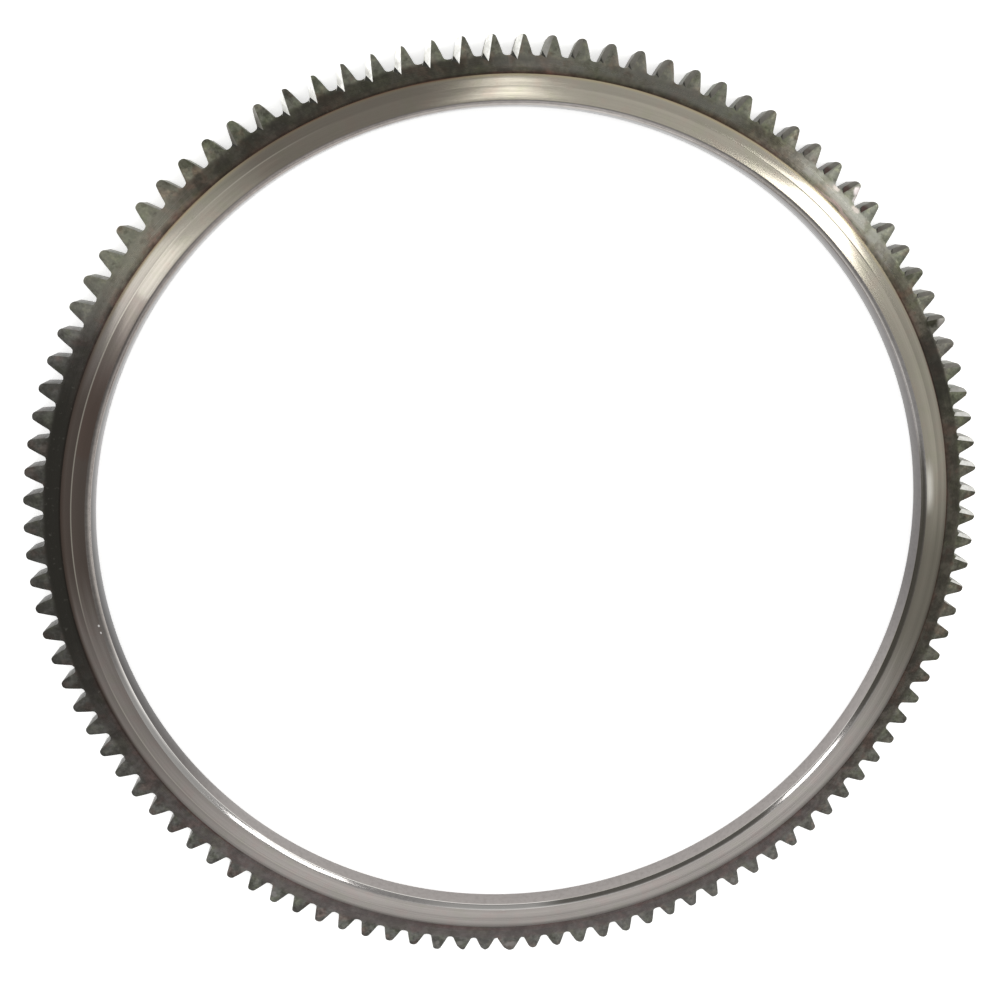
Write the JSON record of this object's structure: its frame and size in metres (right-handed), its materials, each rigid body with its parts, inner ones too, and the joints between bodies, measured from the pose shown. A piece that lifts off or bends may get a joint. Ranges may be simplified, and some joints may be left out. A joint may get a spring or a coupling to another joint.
{
  "type": "flywheel ring gear",
  "caption": "Thin steel ring with 110 starter teeth, worn by use, and a turned bright face; it is shrunk onto the rim of an engine's flywheel.",
  "frame": {"origin": "centre of the ring on the plane of its back face", "axes": "+Z along the ring's axis, towards the starter's side with the worn tooth ends; +X through the middle of a tooth"},
  "size_m": [0.2844, 0.284, 0.0075],
  "materials": {
    "ring_steel": "turned and heat-tinted, with oil-dark teeth"
  },
  "bodies": {
    "root": {"ring_gear": "ring_steel"}
  },
  "joints": []
}
